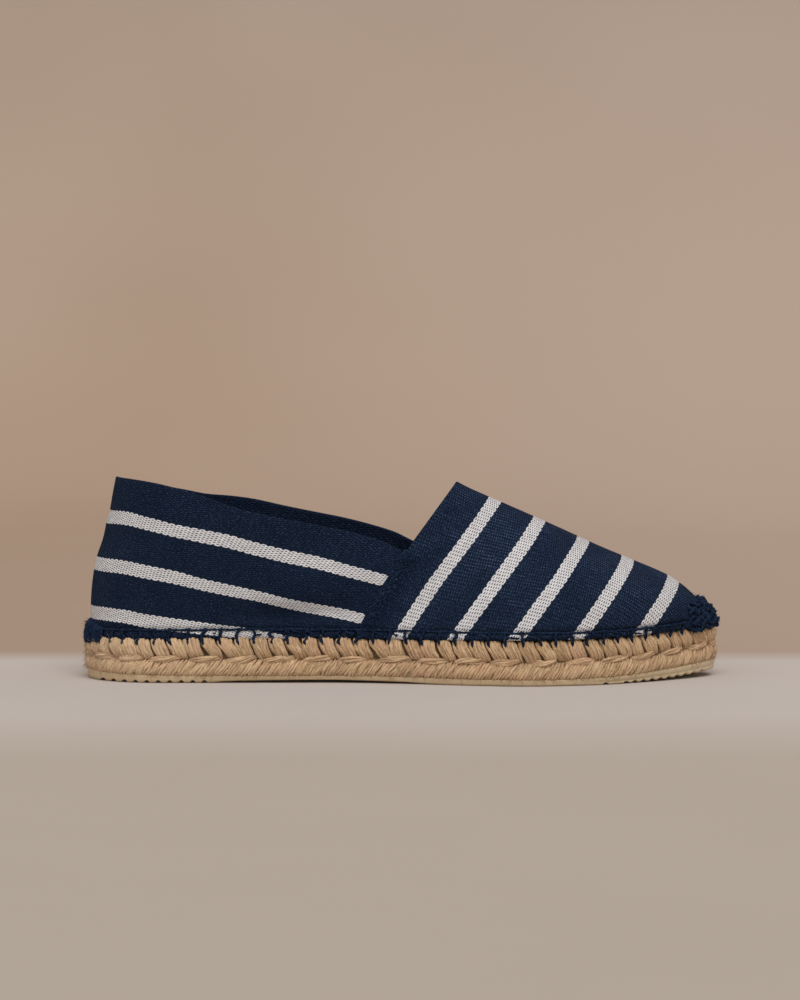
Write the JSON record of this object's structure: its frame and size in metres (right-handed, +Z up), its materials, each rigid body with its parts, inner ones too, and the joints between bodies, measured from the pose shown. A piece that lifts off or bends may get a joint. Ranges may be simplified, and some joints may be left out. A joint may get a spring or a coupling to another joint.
{
  "type": "espadrille",
  "caption": "Slip-on canvas espadrille for the right foot: striped upper open at the collar, braided jute sole and thin ribbed rubber outsole.",
  "frame": {"origin": "bottom centre of the shoe's bounding box, on the ground under the middle of the shoe", "axes": "+X towards the toe, +Y towards the inner side of the foot (this is a right shoe), +Z up"},
  "size_m": [0.2654, 0.0922, 0.0828],
  "materials": {
    "rubber": "matte",
    "jute": "matte braided fibre",
    "insole_cloth": "matte woven",
    "canvas": "matte woven",
    "yarn": "matte spun yarn"
  },
  "bodies": {
    "root": {"outsole": "rubber", "jute_sole": "jute", "insole": "insole_cloth", "upper": "canvas", "toe_guard": "yarn"}
  },
  "joints": []
}
